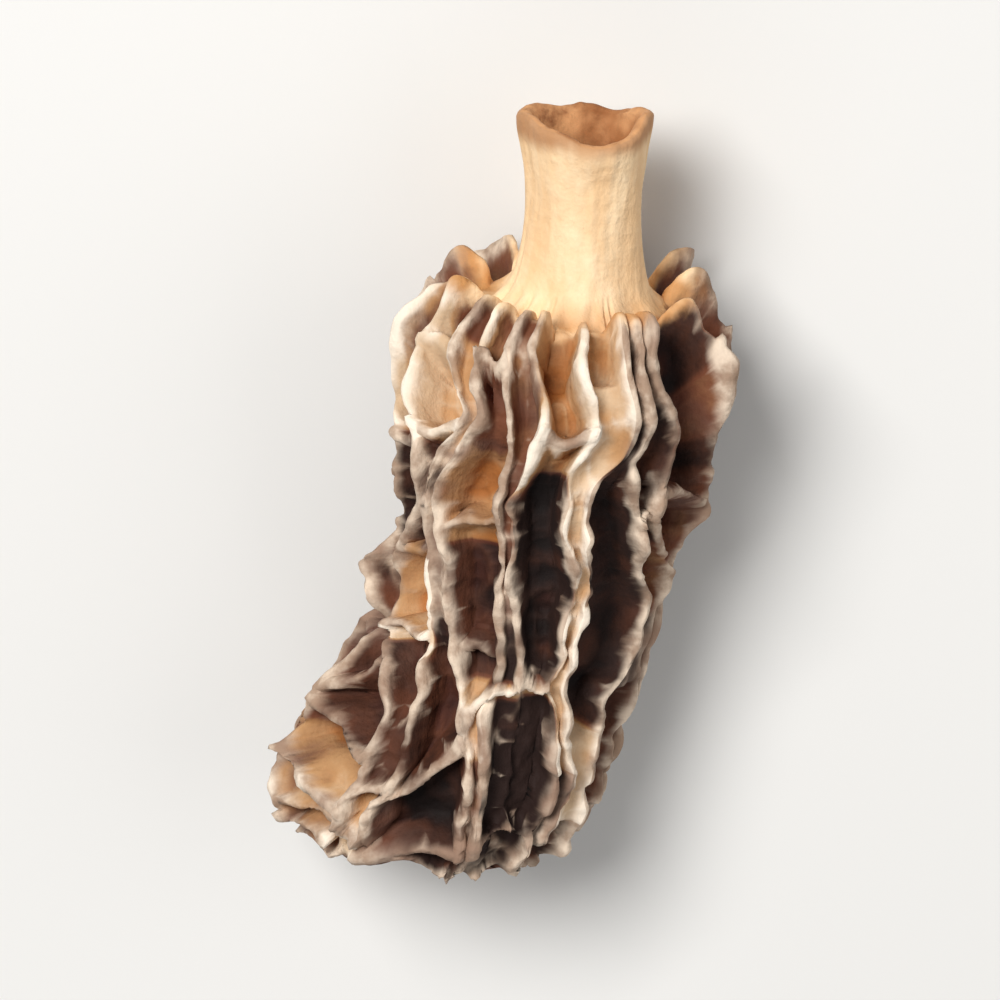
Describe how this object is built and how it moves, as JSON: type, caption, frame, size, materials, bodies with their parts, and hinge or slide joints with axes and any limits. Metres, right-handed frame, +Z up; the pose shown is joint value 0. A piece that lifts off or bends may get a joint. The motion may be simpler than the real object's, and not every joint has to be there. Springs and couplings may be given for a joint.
{
  "type": "dried morel mushroom",
  "caption": "Whole dried morel mushroom lying on its side: long bent cap with a slight waist, covered in a net of thin wavy ribs and deep pits, short pale hollow stem with a cut end",
  "frame": {"origin": "centre of the bounding box in X and Y, at the level of the surface it lies on", "axes": "+Z is up, +Y runs along the mushroom from the cap's tip to the cut end of the stem, the tip bends to -X"},
  "size_m": [0.0216, 0.0366, 0.0165],
  "materials": {
    "dried_flesh": "matte"
  },
  "bodies": {
    "root": {"morel": "dried_flesh"}
  },
  "joints": []
}
